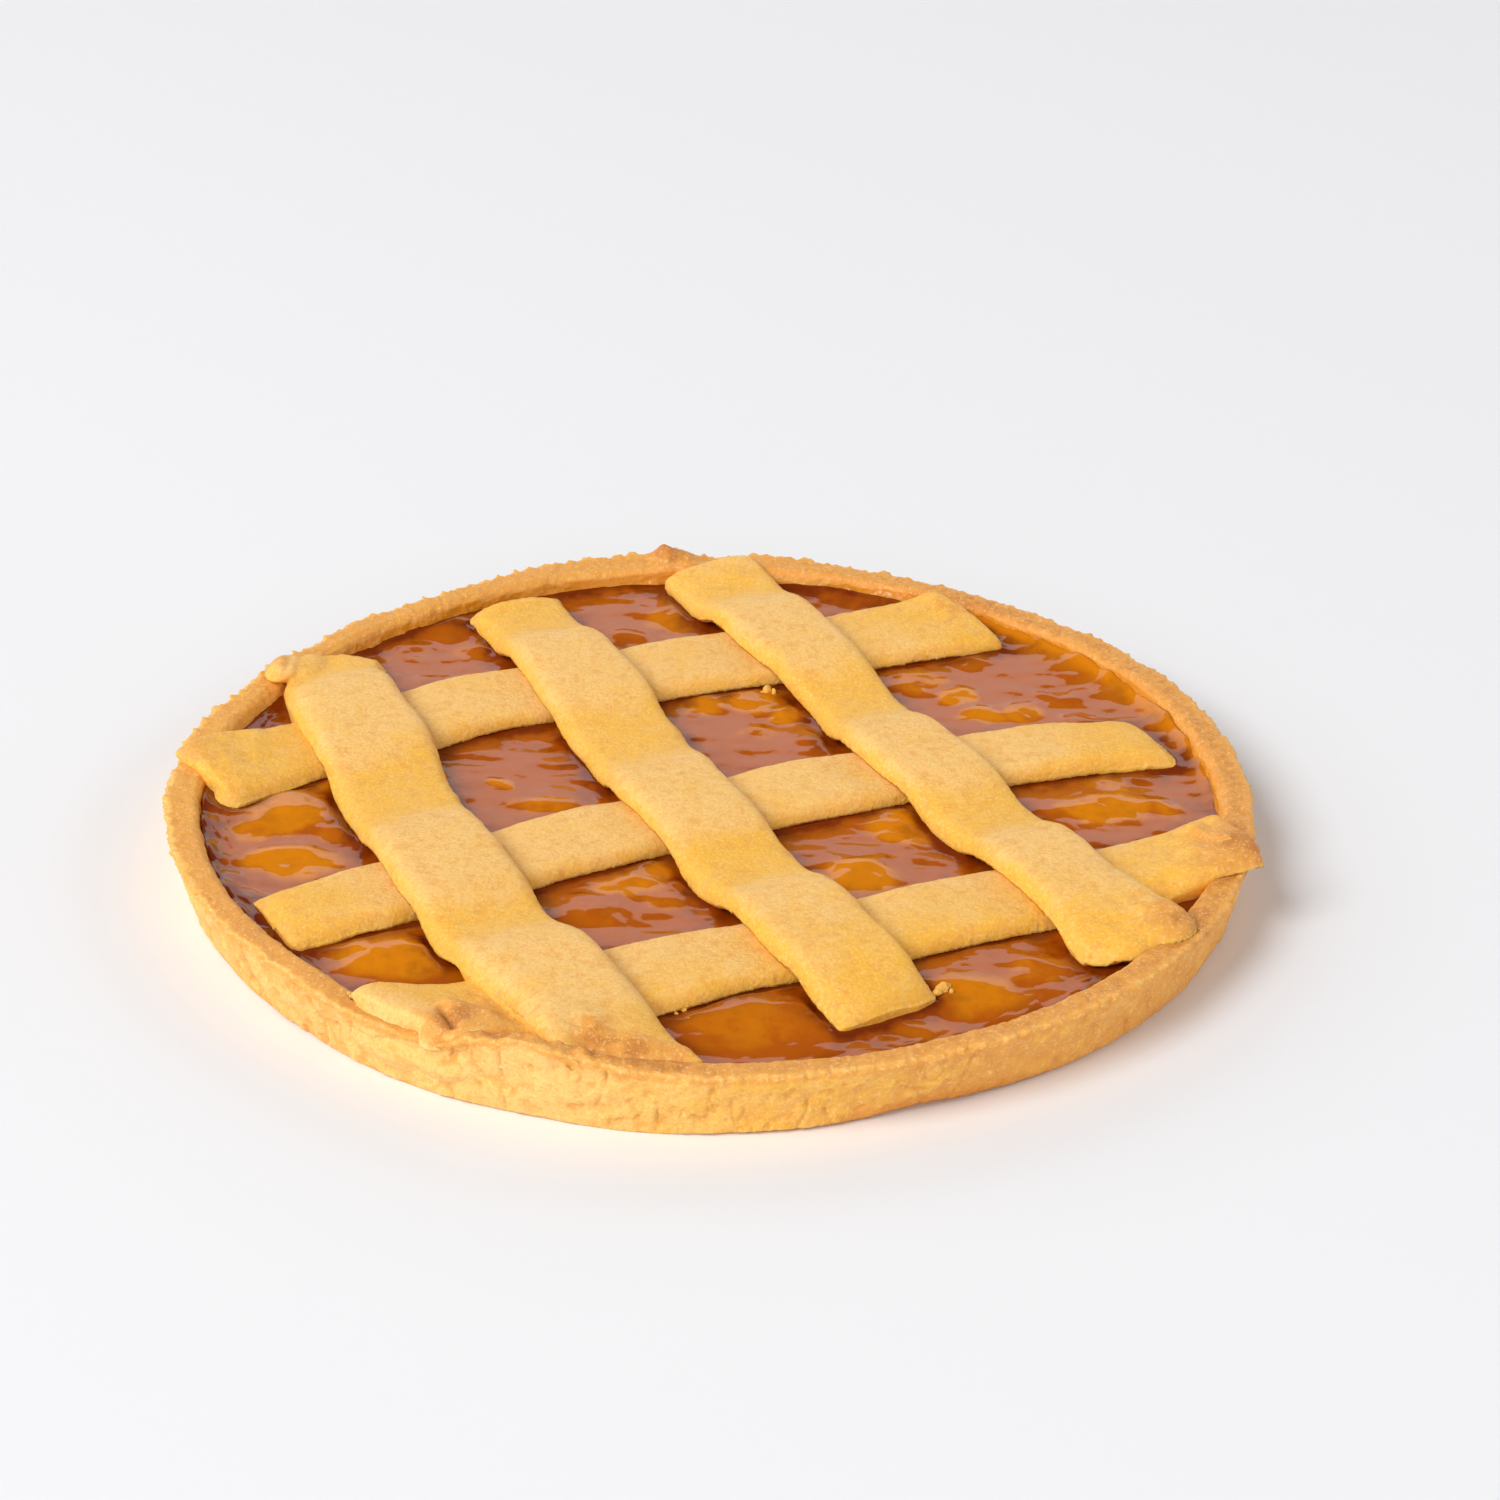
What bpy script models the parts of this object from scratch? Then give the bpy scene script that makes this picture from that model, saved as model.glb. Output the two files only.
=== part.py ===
"""Apricot crostata: a shortcrust case filled with apricot jam, under a lattice of six pastry strips.

Metres, +Z up. The origin is the middle of the flat underside, and the front of the tart is -Y.
The case and the strips are pastry, rolled and pressed by hand, so every edge wanders a little.
"""

import math
from typing import NamedTuple

import bmesh
import bpy
import numpy as np
from mathutils import Vector, noise

GAP = 0.0003                      # clearance between pieces that touch
LAYER_GAP = 0.0008                # clearance between two strips that cross

# Pastry case
CASE_SEGMENTS = 132
BASE_RADIUS = 0.1253              # foot of the outer wall
RIM_RADIUS = 0.1297               # outer edge of the rim
RIM_WIDTH = 0.0072                # top of the rim
RIM_HEIGHT = 0.0170
FLOOR_THICKNESS = 0.0050
FLOOR_RADIUS = 0.1185             # where the inner wall would meet the floor
EDGE_ROUNDING = 0.0010
WALL_LEVELS = (0.25, 0.50, 0.75)  # shares of the rim's height where the outer wall has a ring of points
RIM_WANDER = 0.0004               # unevenness of the rim's outer edge
RIM_WANDER_LENGTH = 0.007
WALL_WANDER = 0.0003              # unevenness of the outer wall
WALL_WANDER_LENGTH = 0.012
WALL_ROWS = 300.0                 # how fast the wall's unevenness changes with height, per metre

# The case is out of round: (angle in degrees, how far the edge stands outside its circle).
RIM_SHAPE = (
    (-175, 0.0014), (-145, -0.0008), (-110, 0.0000), (-75, -0.0006), (-35, 0.0007), (0, 0.0001),
    (30, 0.0008), (56, -0.0014), (75, 0.0002), (83, 0.0026), (92, 0.0006), (105, 0.0032),
    (116, 0.0006), (125, -0.0016), (135, -0.0006), (150, -0.0022), (168, 0.0012),
)
BASE_SHAPE = (
    (-165, 0.0006), (-138, -0.0006), (-120, 0.0011), (-108, 0.0004), (-97, 0.0016), (-85, 0.0004),
    (-68, -0.0018), (-50, -0.0002), (-38, 0.0006), (-10, 0.0008), (45, 0.0000), (100, 0.0010),
    (150, -0.0010),
)
INNER_SHARE = 0.35                # share of that shape that the inner wall follows

# Torn scraps of dough pressed on the rim: (angle in degrees, radius, reach, rise, push outwards).
RIM_LUMPS = (
    (96.0, 0.1305, 0.0034, 0.0030, 0.0022),
    (150.0, 0.1255, 0.0060, 0.0014, 0.0010),
    (105.0, 0.1300, 0.0120, 0.0006, 0.0000),
    (83.0, 0.1300, 0.0060, 0.0006, 0.0000),
    (-109.0, 0.1280, 0.0032, 0.0018, 0.0000),
)

# Apricot jam
JAM_LEVEL = 0.0120
JAM_RINGS = 20
JAM_SECTORS = 6                   # each ring has this many points more than the ring inside it
FRUIT_FADE = 0.006                # the lumps die away this close to a strip or to the wall

# Pieces of fruit under the jam's skin: (x, y, radius, rise).
FRUIT = (
    (-0.0980, -0.0170, 0.0130, 0.0016),
    (-0.0720, -0.0800, 0.0120, 0.0016),
    (-0.0400, -0.0030, 0.0150, 0.0006),
    (0.0130, 0.0370, 0.0140, 0.0010),
    (-0.0140, -0.0560, 0.0130, 0.0010),
    (0.0430, -0.0230, 0.0130, 0.0012),
    (0.0180, -0.1080, 0.0140, 0.0014),
    (0.0720, -0.0780, 0.0130, 0.0012),
    (0.0900, -0.0120, 0.0110, 0.0016),
    (0.0720, 0.0560, 0.0170, 0.0012),
    (-0.0150, 0.0960, 0.0130, 0.0010),
    (-0.0680, 0.0720, 0.0120, 0.0010),
)

# Lattice strips
STRIP_THICKNESS = 0.0047
PRESSED_THICKNESS = 0.0040        # where another strip lies on top
RIM_THICKNESS = 0.0031            # where it is pressed on the rim
STATION_STEP = 0.0056             # distance between two sections of a strip
END_ROUNDING = 0.0014
END_TAPER = 0.82                  # share of the thickness left at the very end
CORNER_PULL = 0.0011              # how far the corners of an end are rounded back
CORNER_POWER = 4                  # how close to the corners that rounding stays
FOLD_MARGIN = 0.0016
FOLD_REACH = 0.0125               # run over which an upper strip comes down beside a lower one
RAMP_FOOT = 0.0100                # distance from the wall where a strip starts to climb the rim
RAMP_TOP = 0.0032                 # distance from the wall where it has reached the top
EDGE_WANDER = 0.0004              # small unevenness of a strip's edges
EDGE_WANDER_LENGTH = 0.012
SAMPLE_STEP = 0.0020              # spacing of the points that distances to a strip are taken from
PRESSED_END_RUN = 0.0200          # length over which an end is pressed flat

# One section of a strip, all round: (place across from -1 to 1, height from 0 to 1).
SECTION = (
    (-0.94, 0.00), (-0.35, 0.00), (0.35, 0.00), (0.94, 0.00), (1.00, 0.28), (0.99, 0.68),
    (0.93, 0.91), (0.76, 1.00), (0.26, 1.03), (-0.26, 1.03), (-0.76, 1.00), (-0.93, 0.91),
    (-0.99, 0.68), (-1.00, 0.28),
)


class End(NamedTuple):
    """How a strip ends: whether it lies on the rim, how its cut leans, what is left of its thickness."""

    on_rim: bool = False
    skew: float = 0.0
    thickness: float = 1.0


class Plan(NamedTuple):
    """A strip from above, seen along its way: its middle line, its left and right edges, its ends."""

    name: str
    route: tuple
    left: tuple                   # distances from the middle line to the edge, evenly spaced
    right: tuple
    start: End = End()
    end: End = End()
    lumps: tuple = ()             # raised spots where it was pressed: (x, y, reach, rise)


LOWER_PLANS = (
    Plan("lattice_lower_far",
         ((-0.1236, 0.0037), (-0.0575, 0.0470), (-0.0087, 0.0687), (0.0675, 0.0965)),
         (0.0128, 0.0138, 0.0137, 0.0150, 0.0134, 0.0136, 0.0140, 0.0140, 0.0135),
         (0.0137, 0.0128, 0.0145, 0.0125, 0.0139, 0.0131, 0.0146, 0.0145, 0.0140),
         End(on_rim=True), End(on_rim=True, skew=-0.30)),
    Plan("lattice_lower_middle",
         ((-0.1003, -0.0622), (-0.0494, -0.0331), (0.0140, -0.0006), (0.1095, 0.0318)),
         (0.0122, 0.0130, 0.0125, 0.0130, 0.0122, 0.0130, 0.0122, 0.0118, 0.0105),
         (0.0120, 0.0126, 0.0124, 0.0120, 0.0121, 0.0116, 0.0122, 0.0114, 0.0115),
         End(), End(skew=-0.28)),
    Plan("lattice_lower_near",
         ((-0.0665, -0.1075), (-0.0046, -0.0797), (0.0551, -0.0543), (0.1250, -0.0255)),
         (0.0160, 0.0140, 0.0130, 0.0130, 0.0126, 0.0129, 0.0138, 0.0142, 0.0140),
         (0.0150, 0.0150, 0.0138, 0.0124, 0.0136, 0.0127, 0.0127, 0.0124, 0.0120),
         End(on_rim=True, skew=-0.55, thickness=0.5), End(on_rim=True),
         ((-0.0590, -0.1125, 0.0045, 0.0022), (0.1190, -0.0180, 0.0045, 0.0010),
          (0.1240, -0.0300, 0.0050, 0.0012))),
)
UPPER_PLANS = (
    Plan("lattice_upper_left",
         ((-0.0994, 0.0675), (-0.0788, 0.0055), (-0.0545, -0.0549), (-0.0168, -0.1245)),
         (0.0123, 0.0131, 0.0143, 0.0139, 0.0128, 0.0142, 0.0149, 0.0155, 0.0147),
         (0.0132, 0.0143, 0.0146, 0.0138, 0.0144, 0.0145, 0.0140, 0.0122, 0.0128),
         End(), End(on_rim=True, skew=0.50, thickness=0.6), ((-0.0215, -0.1195, 0.0060, 0.0010),)),
    Plan("lattice_upper_middle",
         ((-0.0515, 0.1004), (-0.0300, 0.0498), (0.0015, -0.0251), (0.0396, -0.0979)),
         (0.0122, 0.0116, 0.0128, 0.0135, 0.0116, 0.0130, 0.0137, 0.0135, 0.0130),
         (0.0128, 0.0135, 0.0144, 0.0135, 0.0150, 0.0130, 0.0119, 0.0128, 0.0125)),
    Plan("lattice_upper_right",
         ((-0.0011, 0.1240), (0.0230, 0.0715), (0.0590, -0.0022), (0.0950, -0.0695)),
         (0.0114, 0.0124, 0.0120, 0.0120, 0.0106, 0.0128, 0.0126, 0.0120, 0.0160),
         (0.0145, 0.0138, 0.0136, 0.0095, 0.0132, 0.0120, 0.0108, 0.0116, 0.0130),
         End(on_rim=True), End(on_rim=True), ((0.1060, -0.0660, 0.0060, 0.0010),)),
)

PASTRY_COLOUR = (0.80, 0.50, 0.19, 1.0)
PASTRY_ROUGHNESS = 0.70
CASE_COLOUR = (0.74, 0.43, 0.16, 1.0)
CASE_ROUGHNESS = 0.75
JAM_COLOUR = (0.42, 0.10, 0.012, 1.0)
JAM_ROUGHNESS = 0.12

NOISE_SPREAD = 1.6                # brings the noise to about -1 to 1
NOISE_ROW = 7.3                   # distance in the noise between two rows
NOISE_DEPTH = 0.5


def smoothstep(share):
    share = min(max(share, 0.0), 1.0)
    return share * share * (3.0 - 2.0 * share)


def wander(place, row, scale):
    """Smooth repeatable unevenness, about -1 to 1, along a line. Each row is a different one."""
    return NOISE_SPREAD * noise.noise(Vector((place / scale, NOISE_ROW * row, NOISE_DEPTH)))


def lump(distance, reach):
    return math.exp(-((distance / reach) ** 2))


def out_of_round(angle, height):
    """How far the case's outer wall stands outside its true circle."""
    turn = math.degrees(angle)
    rim = float(np.interp(turn, *zip(*RIM_SHAPE), period=360.0))
    base = float(np.interp(turn, *zip(*BASE_SHAPE), period=360.0))
    share = min(max(height / RIM_HEIGHT, 0.0), 1.0)
    return share * rim + (1.0 - share) * base


def inner_radius(height):
    """True radius of the inner wall, which leans outwards from the floor to the rim."""
    share = (height - FLOOR_THICKNESS) / (RIM_HEIGHT - FLOOR_THICKNESS)
    return FLOOR_RADIUS + (RIM_RADIUS - RIM_WIDTH - FLOOR_RADIUS) * share


def wall_distance(x, y, height):
    """Distance in plan from a point to the inner wall at a height, positive inside it."""
    shift = INNER_SHARE * out_of_round(math.atan2(y, x), RIM_HEIGHT)
    return inner_radius(height) + shift - math.hypot(x, y)


def case_profile():
    """Half section of the case, from the foot up over the rim and down to the floor."""
    outer_wall = [
        (BASE_RADIUS + (RIM_RADIUS - BASE_RADIUS) * share, RIM_HEIGHT * share)
        for share in WALL_LEVELS
    ]
    inner_wall = [
        (inner_radius(height), height)
        for height in (RIM_HEIGHT - EDGE_ROUNDING, JAM_LEVEL, FLOOR_THICKNESS + EDGE_ROUNDING)
    ]
    return [
        (BASE_RADIUS - EDGE_ROUNDING, 0.0),
        (BASE_RADIUS, EDGE_ROUNDING),
        *outer_wall,
        (RIM_RADIUS, RIM_HEIGHT - EDGE_ROUNDING),
        (RIM_RADIUS - EDGE_ROUNDING, RIM_HEIGHT),
        (RIM_RADIUS - RIM_WIDTH / 2, RIM_HEIGHT),
        (RIM_RADIUS - RIM_WIDTH + EDGE_ROUNDING, RIM_HEIGHT),
        *inner_wall,
        (FLOOR_RADIUS - EDGE_ROUNDING, FLOOR_THICKNESS),
    ]


def place_case_point(radius, height, angle):
    """A point of the turned profile, moved to its place on the uneven case."""
    rise = 0.0
    inner_edge = RIM_RADIUS - RIM_WIDTH + 2 * EDGE_ROUNDING
    outer_edge = RIM_RADIUS - 2 * EDGE_ROUNDING
    if radius < inner_edge and height > 0.0:
        shift = INNER_SHARE * out_of_round(angle, RIM_HEIGHT)
    else:
        shift = out_of_round(angle, height)
        along = angle * RIM_RADIUS
        if radius > outer_edge and height > RIM_HEIGHT / 2:
            shift += RIM_WANDER * wander(along, 1, RIM_WANDER_LENGTH)
        shift += WALL_WANDER * wander(along, 2 + WALL_ROWS * height, WALL_WANDER_LENGTH)
        for lump_angle, lump_radius, reach, lump_rise, push in RIM_LUMPS:
            turn = math.radians(lump_angle)
            away = math.dist(
                (radius * math.cos(angle), radius * math.sin(angle)),
                (lump_radius * math.cos(turn), lump_radius * math.sin(turn)),
            )
            share = lump(away, reach) * smoothstep(2.0 * height / RIM_HEIGHT - 1.0)
            rise += lump_rise * share
            shift += push * share
    radius += shift
    return Vector((radius * math.cos(angle), radius * math.sin(angle), height + rise))


def turned_rings(bm, profile, segments, place):
    """One ring of vertices for each point of a profile, each vertex put where place() says."""
    return [
        [
            bm.verts.new(place(radius, height, math.tau * step / segments))
            for step in range(segments)
        ]
        for radius, height in profile
    ]


def join_rings(bm, rings):
    """Quads from each ring of vertices to the next."""
    for low, high in zip(rings, rings[1:]):
        for step, vertex in enumerate(low):
            after = (step + 1) % len(low)
            bm.faces.new((vertex, low[after], high[after], high[step]))


def new_object(name, bm, material):
    bmesh.ops.recalc_face_normals(bm, faces=bm.faces)
    mesh = bpy.data.meshes.new(name)
    bm.to_mesh(mesh)
    bm.free()
    mesh.shade_smooth()
    mesh.materials.append(material)
    bpy.context.scene.collection.objects.link(bpy.data.objects.new(name, mesh))


def make_material(name, colour, roughness):
    material = bpy.data.materials.new(name)
    material.use_nodes = True
    shader = material.node_tree.nodes["Principled BSDF"]
    shader.inputs["Base Color"].default_value = colour
    shader.inputs["Roughness"].default_value = roughness
    shader.inputs["Metallic"].default_value = 0.0
    return material


def make_case():
    bm = bmesh.new()
    rings = turned_rings(bm, case_profile(), CASE_SEGMENTS, place_case_point)
    join_rings(bm, rings)
    bm.faces.new(rings[0])
    bm.faces.new(rings[-1])
    new_object("pastry_case", bm, make_material("pastry_case", CASE_COLOUR, CASE_ROUGHNESS))


class Strip:
    """A strip of the lattice: its middle line, its width, and the heights of its two faces."""

    def __init__(self, row, plan, below=()):
        self.row = row
        self.plan = plan
        self.below = below
        self.above = ()
        points = np.array(plan.route)
        knots = np.concatenate(([0.0], np.cumsum(np.hypot(*np.diff(points, axis=0).T))))
        self.length = knots[-1]
        self.curves = [np.polyfit(knots, values, len(knots) - 1) for values in points.T]
        self.samples = np.arange(0.0, self.length, SAMPLE_STEP)
        self.sample_points = np.stack([np.polyval(curve, self.samples) for curve in self.curves])

    def middle(self, along):
        return Vector([float(np.polyval(curve, along)) for curve in self.curves])

    def heading(self, along):
        slope = [float(np.polyval(np.polyder(curve), along)) for curve in self.curves]
        return Vector(slope).normalized()

    def half_width(self, along, side):
        """Distance from the middle line to the edge; side is above zero on the left, below on the right."""
        edge = self.plan.left if side > 0.0 else self.plan.right
        return float(np.interp(along, np.linspace(0.0, self.length, len(edge)), edge))

    def nearest(self, x, y):
        """Distance along the strip of its point nearest to (x, y), and how far outside its edge that is."""
        away = np.hypot(self.sample_points[0] - x, self.sample_points[1] - y)
        index = int(away.argmin())
        along = float(self.samples[index])
        heading = self.heading(along)
        step = Vector((x, y)) - Vector(self.sample_points[:, index])
        return along, float(away[index]) - self.half_width(along, heading.cross(step))

    def on_rim(self, along):
        end = self.plan.start if along < self.length / 2 else self.plan.end
        return end.on_rim

    def climb(self, x, y, along):
        """Share of the way up onto the rim, 0 on the jam and 1 on the rim."""
        if not self.on_rim(along):
            return 0.0
        away = wall_distance(x, y, RIM_HEIGHT)
        return smoothstep((RAMP_FOOT - away) / (RAMP_FOOT - RAMP_TOP))

    def bottom(self, x, y, along):
        jam, rim = JAM_LEVEL + GAP, RIM_HEIGHT + GAP
        height = jam + (rim - jam) * self.climb(x, y, along)
        for strip in self.below:
            other_along, outside = strip.nearest(x, y)
            share = smoothstep(1.0 - (outside - FOLD_MARGIN) / FOLD_REACH)
            lift = strip.top(x, y, other_along) + LAYER_GAP - height
            height += share * max(lift, 0.0)
        return height

    def thickness(self, x, y, along):
        full = STRIP_THICKNESS
        for strip in self.above:
            share = smoothstep(1.0 - strip.nearest(x, y)[1] / FOLD_REACH)
            full = min(full, STRIP_THICKNESS + (PRESSED_THICKNESS - STRIP_THICKNESS) * share)
        full += (RIM_THICKNESS - full) * self.climb(x, y, along)
        for end, run in ((self.plan.start, along), (self.plan.end, self.length - along)):
            full *= end.thickness + (1.0 - end.thickness) * smoothstep(run / PRESSED_END_RUN)
        return full + sum(
            rise * lump(math.dist((lump_x, lump_y), (x, y)), reach)
            for lump_x, lump_y, reach, rise in self.plan.lumps
        )

    def top(self, x, y, along):
        return self.bottom(x, y, along) + self.thickness(x, y, along)

    def stations(self):
        count = round(self.length / STATION_STEP)
        inner = np.linspace(END_ROUNDING, self.length - END_ROUNDING, count)
        return [0.0, *inner, self.length]

    def section(self, bm, along):
        """Vertices of one section, set on whatever lies below."""
        middle, heading = self.middle(along), self.heading(along)
        across = Vector((-heading.y, heading.x))
        at_end = along in (0.0, self.length)
        start_share = 1.0 - smoothstep(along / PRESSED_END_RUN)
        end_share = 1.0 - smoothstep((self.length - along) / PRESSED_END_RUN)
        vertices = []
        for place, level in SECTION:
            side = 1 if place > 0.0 else -1
            half = self.half_width(along, side)
            half += EDGE_WANDER * wander(along, 3 * self.row + side, EDGE_WANDER_LENGTH)
            lean = self.plan.start.skew * start_share + self.plan.end.skew * end_share
            pull = CORNER_PULL * abs(place) ** CORNER_POWER
            pull *= start_share ** CORNER_POWER - end_share ** CORNER_POWER
            point = middle + across * (half * place) + heading * (lean * half * place + pull)
            bottom = self.bottom(point.x, point.y, along)
            if bottom < RIM_HEIGHT:
                point *= 1.0 + min(0.0, wall_distance(point.x, point.y, bottom) - GAP) / point.length
            thickness = self.thickness(point.x, point.y, along) * (END_TAPER if at_end else 1.0)
            vertices.append(bm.verts.new((point.x, point.y, bottom + level * thickness)))
        return vertices

    def make(self, material):
        bm = bmesh.new()
        rings = [self.section(bm, along) for along in self.stations()]
        join_rings(bm, rings)
        bm.faces.new(rings[0])
        bm.faces.new(rings[-1])
        new_object(self.plan.name, bm, material)


def join_unequal_rings(bm, outer, inner):
    """Triangles between a ring of vertices and the smaller ring, or the point, inside it."""
    if len(inner) == 1:
        for step, vertex in enumerate(outer):
            bm.faces.new((vertex, outer[(step + 1) % len(outer)], inner[0]))
        return
    sector = len(outer) // JAM_SECTORS
    for corner in range(JAM_SECTORS):
        for step in range(sector):
            first = outer[corner * sector + step]
            second = outer[(corner * sector + step + 1) % len(outer)]
            near = inner[(corner * (sector - 1) + step) % len(inner)]
            bm.faces.new((first, second, near))
            if step < sector - 1:
                after = inner[(corner * (sector - 1) + step + 1) % len(inner)]
                bm.faces.new((second, after, near))


def make_jam(strips):
    """The filling: a disc with its sides on the case's wall and a lumpy skin between the strips."""
    def relief(x, y):
        clear = min(wall_distance(x, y, JAM_LEVEL), *(strip.nearest(x, y)[1] for strip in strips))
        rises = sum(
            rise * lump(math.dist((x, y), (fruit_x, fruit_y)), radius)
            for fruit_x, fruit_y, radius, rise in FRUIT
        )
        return rises * smoothstep(clear / FRUIT_FADE)

    bm = bmesh.new()
    floor = FLOOR_THICKNESS + GAP
    edges = [
        (FLOOR_RADIUS - EDGE_ROUNDING - GAP, floor),
        (inner_radius(FLOOR_THICKNESS + EDGE_ROUNDING) - GAP, floor + EDGE_ROUNDING),
        (inner_radius(JAM_LEVEL) - GAP, JAM_LEVEL),
    ]

    def place(radius, height, angle):
        radius += INNER_SHARE * out_of_round(angle, RIM_HEIGHT)
        return Vector((radius * math.cos(angle), radius * math.sin(angle), height))

    sides = turned_rings(bm, edges, JAM_SECTORS * JAM_RINGS, place)
    join_rings(bm, sides)
    bm.faces.new(sides[0])

    skin = sides[-1]
    for ring in range(JAM_RINGS - 1, -1, -1):
        count = max(JAM_SECTORS * ring, 1)
        radius = edges[-1][0] * ring / JAM_RINGS
        inner = []
        for step in range(count):
            angle = math.tau * step / count
            point = place(radius, JAM_LEVEL, angle)
            point.z += relief(point.x, point.y)
            inner.append(bm.verts.new(point))
        join_unequal_rings(bm, skin, inner)
        skin = inner
    new_object("apricot_filling", bm, make_material("apricot_filling", JAM_COLOUR, JAM_ROUGHNESS))


def main():
    for obj in list(bpy.data.objects):
        bpy.data.objects.remove(obj, do_unlink=True)
    lower = [Strip(row, plan) for row, plan in enumerate(LOWER_PLANS)]
    upper = [Strip(row, plan, below=lower) for row, plan in enumerate(UPPER_PLANS, len(lower))]
    for strip in lower:
        strip.above = upper
    make_case()
    make_jam(lower + upper)
    for strip in lower + upper:
        strip.make(make_material(strip.plan.name, PASTRY_COLOUR, PASTRY_ROUGHNESS))


main()
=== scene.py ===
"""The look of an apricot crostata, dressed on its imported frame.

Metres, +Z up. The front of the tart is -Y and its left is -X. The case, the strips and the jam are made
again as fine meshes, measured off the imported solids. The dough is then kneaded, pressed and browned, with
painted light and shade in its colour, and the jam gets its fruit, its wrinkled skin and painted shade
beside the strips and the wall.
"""

import math

import bmesh
import bpy
import numpy as np
from mathutils import Matrix, Vector, noise
from mathutils.bvhtree import BVHTree


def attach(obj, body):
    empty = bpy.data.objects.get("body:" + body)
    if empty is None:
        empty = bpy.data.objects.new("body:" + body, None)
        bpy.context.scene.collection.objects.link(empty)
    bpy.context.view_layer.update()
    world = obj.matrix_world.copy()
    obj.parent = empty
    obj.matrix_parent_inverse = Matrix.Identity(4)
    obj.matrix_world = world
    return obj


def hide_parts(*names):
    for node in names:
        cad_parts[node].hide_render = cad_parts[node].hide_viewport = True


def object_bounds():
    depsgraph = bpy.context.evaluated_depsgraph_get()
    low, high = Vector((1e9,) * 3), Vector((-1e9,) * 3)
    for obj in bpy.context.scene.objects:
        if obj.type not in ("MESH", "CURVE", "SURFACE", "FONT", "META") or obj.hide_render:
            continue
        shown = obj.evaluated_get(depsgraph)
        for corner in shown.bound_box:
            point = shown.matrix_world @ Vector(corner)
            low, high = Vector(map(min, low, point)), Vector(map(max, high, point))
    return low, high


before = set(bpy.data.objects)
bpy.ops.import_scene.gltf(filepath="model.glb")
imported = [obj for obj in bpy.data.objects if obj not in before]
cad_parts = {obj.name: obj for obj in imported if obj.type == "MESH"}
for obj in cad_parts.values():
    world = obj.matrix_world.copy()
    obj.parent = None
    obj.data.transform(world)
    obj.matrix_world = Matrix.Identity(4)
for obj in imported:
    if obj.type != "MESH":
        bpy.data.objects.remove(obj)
cad_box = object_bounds()

BODY = "root"
MM = 0.001
BELOW = Vector((0.0, 0.0, -1.0))
ABOVE = Vector((0.0, 0.0, 1.0))
OVERHEAD = 0.05                   # a height above all of the tart

# Camera: a long lens in front of the tart, looking down on it.
CAMERA_PLACE = (0.0, -0.845654, 0.476274)
CAMERA_RIGHT = (0.9999058, -0.0032562, 0.0133341)
CAMERA_UP = (-0.0102478, 0.4691819, 0.8830421)
CAMERA_LENS = 96.0
SENSOR = 36.0

# Case
CASE_STEPS = 1420                 # points round the case
CASE_ROWS = 66                    # points along its section
PIVOT = (0.1237, 0.0090)          # a point (radius, height) inside the wall, that sees all of its section
FIRST_LOOK = math.radians(-89.0)  # from the pivot: towards the foot of the outer wall, by way of the rim,
LAST_LOOK = math.radians(203.0)   # to the inner wall below the jam
FINE_LOOKS = 600                  # looks that the section is first measured with, to space its rows evenly
SECTION_TURN = -1.4               # where round the case that is done, in radians
CASE_SOFTENING = 2.6 * MM         # how far the facets are smoothed out along the rim
CASE_SWELL = 0.28 * MM            # slow unevenness of all of it
WALL_RELIEF = 0.55 * MM           # lumps, cracks and pits of the wall
CASE_GRAIN = 0.12 * MM            # fine unevenness
EDGE_IN = 0.8 * MM                # how far inside its widest the crumbly edge runs
EDGE_DOWN = 0.4 * MM              # and how far below its top
TEETH_OUT = 1.0 * MM              # how far the teeth of that edge stick out
TEETH_UP = 0.45 * MM              # and how far up
TORN_FROM = 122.8 * MM            # how far out the rim is torn up

# Strips
VOXEL = 0.66 * MM                 # cell size of the fine meshes
STRIP_SOFTENING = 12              # rounds of smoothing
PUFF = 0.25 * MM                  # what the smoothing took off
GRID_STEP = 1.2 * MM              # of the grids that hold each strip's lie
EASING = 3.2                      # how far its kinks are eased, in grid steps
SHOULDER = 2.1                    # how far in from the outline it rounds over, in grid steps
SHOULDER_DROP = 1.7 * MM
PRESSED = 5.0                     # the same for the ends, which are pressed thinner
PRESSED_DROP = 1.3 * MM
DRAPED_FROM = 102.0 * MM          # how far out the ends are let down on what lies below
SUNK = 0.5 * MM                   # how far they sink into it
CASE_TOP = 120.0 * MM             # how far out they lie on the rim
STRIPS = tuple(sorted(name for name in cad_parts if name.startswith("lattice_")))

# Jam
JAM_RINGS = 172                   # rings of points round its middle
JAM_FLOOR = 5.5 * MM              # height of its underside
JAM_LEVEL = 12.0 * MM             # height of its skin
JAM_TUCK = 0.8 * MM               # how far the jam's edge reaches into the wall
FRUIT_LIFT = 1.15                 # how much of each rise in the FRUIT table shows
MENISCUS = 0.7 * MM               # how far the jam climbs up the strips
MENISCUS_REACH = 1.1 * MM
WRINKLE = 0.26 * MM               # how high the skin's wrinkles stand beside the wall

# Studio
KEY_PLACE = (-3.15, -2.50, 4.15)
KEY_SIZE = 3.4
KEY_POWER = 250.0
FLOOR_HALF = 3.0
FLOOR_WHITE = (0.870, 0.876, 0.893, 1.0)


# ---------------------------------------------------------------- measuring and making meshes

def tree_of(meshes):
    """One search tree for several meshes."""
    points = []
    faces = []
    for mesh in meshes:
        start = len(points)
        points.extend(vertex.co[:] for vertex in mesh.vertices)
        faces.extend([start + index for index in face.vertices] for face in mesh.polygons)
    return BVHTree.FromPolygons(points, faces)


def solid(node):
    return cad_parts[node].data


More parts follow.
